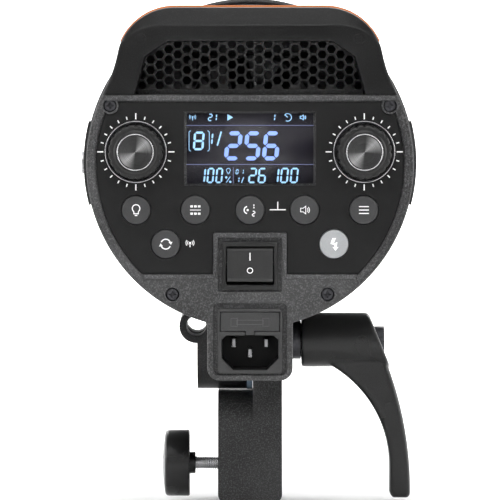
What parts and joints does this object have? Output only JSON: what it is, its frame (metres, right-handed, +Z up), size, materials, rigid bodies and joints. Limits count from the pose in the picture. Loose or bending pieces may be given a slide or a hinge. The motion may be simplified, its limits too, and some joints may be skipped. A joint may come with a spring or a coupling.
{
  "type": "monolight strobe",
  "caption": "Mains studio flash head with rear control panel, handle, front accessory ring and flash dome, on a lever-locked tilting stand bracket.",
  "frame": {"origin": "mouth of the stand socket, on its axis, at the bottom of the stand block", "axes": "+Z up along the stand socket, +Y forward along the light's beam, +X to the right seen from the control panel"},
  "size_m": [0.149, 0.3082, 0.2269],
  "materials": {
    "textured_black": "fine spark texture",
    "satin_black": "satin",
    "cast_black": "powder coat",
    "casing_black": "fine textured paint",
    "panel_film": "satin film",
    "button_grey": "matte",
    "button_light": "translucent",
    "switch_black": "semi gloss",
    "trim_orange": "satin",
    "screen_glass": "tinted",
    "screen_dark": "dark display",
    "chrome_ring": "polished edge",
    "spun_metal": "spun, black anodised",
    "steel": "turned",
    "black_steel": "black oxide",
    "brass": "turned",
    "friction_fibre": "matte blue-grey",
    "circuit_green": "solder mask",
    "capacitor_sleeve": "shrink sleeve",
    "bare_aluminium": "satin",
    "pan_white": "satin white",
    "ceramic": "unglazed ceramic",
    "led_yellow": "phosphor gel",
    "tube_glass": "clear quartz",
    "dome_glass": "frosted"
  },
  "bodies": {
    "stand": {"stand_block": "textured_black", "tilt_bolt": "steel"},
    "head": {"friction_disc": "friction_fibre", "head_bracket": "cast_black", "main_casing": "casing_black", "side_panel_left": "textured_black", "side_panel_right": "textured_black", "rear_cover": "textured_black", "inlet_housing": "textured_black", "handle": "textured_black", "handle_trim": "trim_orange", "handle_plugs": "satin_black", "rear_grille": "cast_black", "case_screws": "black_steel", "control_panel": "panel_film", "lcd_window": "screen_glass", "lcd_module": "screen_dark", "control_board": "circuit_green", "dial_bezels": "chrome_ring", "switch_frame": "switch_black", "inlet_body": "satin_black", "inlet_pins": "steel", "fan_frame": "satin_black", "chassis": "bare_aluminium", "power_board": "circuit_green", "capacitors": "capacitor_sleeve", "heat_sink": "bare_aluminium", "front_ring": "cast_black", "bayonet_ring": "black_steel", "lock_spring": "steel", "reflector_pan": "pan_white", "lamp_socket": "ceramic", "led_module": "led_yellow", "flash_tube": "tube_glass", "glass_dome": "dome_glass", "sync_jack": "steel"},
    "lever_nut": {"lever_collar": "black_steel", "lever_insert": "steel", "lever_spring": "steel", "lever_screw": "black_steel"},
    "lever_arm": {"lever": "satin_black"},
    "clamp_pad": {"pressure_pad": "brass"},
    "clamp_turner": {"clamp_knob": "satin_black", "clamp_screw": "steel"},
    "left_dial": {"dial_left": "satin_black", "dial_cap_left": "spun_metal"},
    "right_dial": {"dial_right": "satin_black", "dial_cap_right": "spun_metal"},
    "rocker": {"switch_rocker": "switch_black"},
    "drawer": {"fuse_drawer": "satin_black", "fuse": "steel"},
    "fan": {"fan_rotor": "satin_black"},
    "slider": {"lock_slider": "satin_black"},
    "key_lamp": {"button_lamp": "button_grey"},
    "key_group": {"button_group": "button_grey"},
    "key_slave": {"button_slave": "button_grey"},
    "key_sound": {"button_sound": "button_grey"},
    "key_menu": {"button_menu": "button_grey"},
    "key_mode": {"button_mode": "button_grey"},
    "key_flash": {"button_flash": "button_light"}
  },
  "joints": [
    {"name": "tilt", "type": "hinge", "parent": "stand", "child": "head", "pos_m": [0, 0, 0.0723], "axis": [1, 0, 0], "range_deg": [-60, 60]},
    {"name": "lever_turn", "type": "hinge", "parent": "stand", "child": "lever_nut", "pos_m": [0.018, 0, 0.0723], "axis": [1, 0, 0], "range_deg": [-60, 60]},
    {"name": "lever_lift", "type": "slide", "parent": "lever_nut", "child": "lever_arm", "axis": [1, 0, 0], "range_m": [0, 0.005], "stiffness_N_per_m": 800, "springref_m": -0.003, "deforming": ["lever_spring"]},
    {"name": "clamp_feed", "type": "slide", "parent": "stand", "child": "clamp_pad", "axis": [1, 0, 0], "range_m": [0, 0.005]},
    {"name": "clamp_turn", "type": "hinge", "parent": "clamp_pad", "child": "clamp_turner", "pos_m": [-0.02, 0, 0.0164], "axis": [1, 0, 0], "range_deg": [0, 1801]},
    {"name": "left_dial_turn", "type": "hinge", "parent": "head", "child": "left_dial", "pos_m": [-0.0485, -0.12, 0.1605], "axis": [0, 1, 0], "continuous": true},
    {"name": "right_dial_turn", "type": "hinge", "parent": "head", "child": "right_dial", "pos_m": [0.0485, -0.12, 0.1605], "axis": [0, 1, 0], "continuous": true},
    {"name": "rocker_tip", "type": "hinge", "parent": "head", "child": "rocker", "pos_m": [0, -0.117, 0.11215], "axis": [1, 0, 0], "range_deg": [0, 18]},
    {"name": "drawer_pull", "type": "slide", "parent": "head", "child": "drawer", "axis": [0, -1, 0], "range_m": [0, 0.018]},
    {"name": "fan_spin", "type": "hinge", "parent": "head", "child": "fan", "pos_m": [0, -0.078, 0.1729], "axis": [0, 1, 0], "continuous": true},
    {"name": "slider_pull", "type": "slide", "parent": "head", "child": "slider", "axis": [0, -1, 0], "range_m": [0, 0.004], "stiffness_N_per_m": 400, "springref_m": -0.003, "deforming": ["lock_spring"]},
    {"name": "press_lamp", "type": "slide", "parent": "head", "child": "key_lamp", "axis": [0, 1, 0], "range_m": [0, 0.0007], "stiffness_N_per_m": 400, "springref_m": -0.0012},
    {"name": "press_group", "type": "slide", "parent": "head", "child": "key_group", "axis": [0, 1, 0], "range_m": [0, 0.0007], "stiffness_N_per_m": 400, "springref_m": -0.0012},
    {"name": "press_slave", "type": "slide", "parent": "head", "child": "key_slave", "axis": [0, 1, 0], "range_m": [0, 0.0007], "stiffness_N_per_m": 400, "springref_m": -0.0012},
    {"name": "press_sound", "type": "slide", "parent": "head", "child": "key_sound", "axis": [0, 1, 0], "range_m": [0, 0.0007], "stiffness_N_per_m": 400, "springref_m": -0.0012},
    {"name": "press_menu", "type": "slide", "parent": "head", "child": "key_menu", "axis": [0, 1, 0], "range_m": [0, 0.0007], "stiffness_N_per_m": 400, "springref_m": -0.0012},
    {"name": "press_mode", "type": "slide", "parent": "head", "child": "key_mode", "axis": [0, 1, 0], "range_m": [0, 0.0007], "stiffness_N_per_m": 400, "springref_m": -0.0012},
    {"name": "press_flash", "type": "slide", "parent": "head", "child": "key_flash", "axis": [0, 1, 0], "range_m": [0, 0.0007], "stiffness_N_per_m": 400, "springref_m": -0.0012}
  ],
  "couplings": [
    {"joint": "clamp_turn", "follows": "clamp_feed", "rad_per_m": 6283.2}
  ]
}
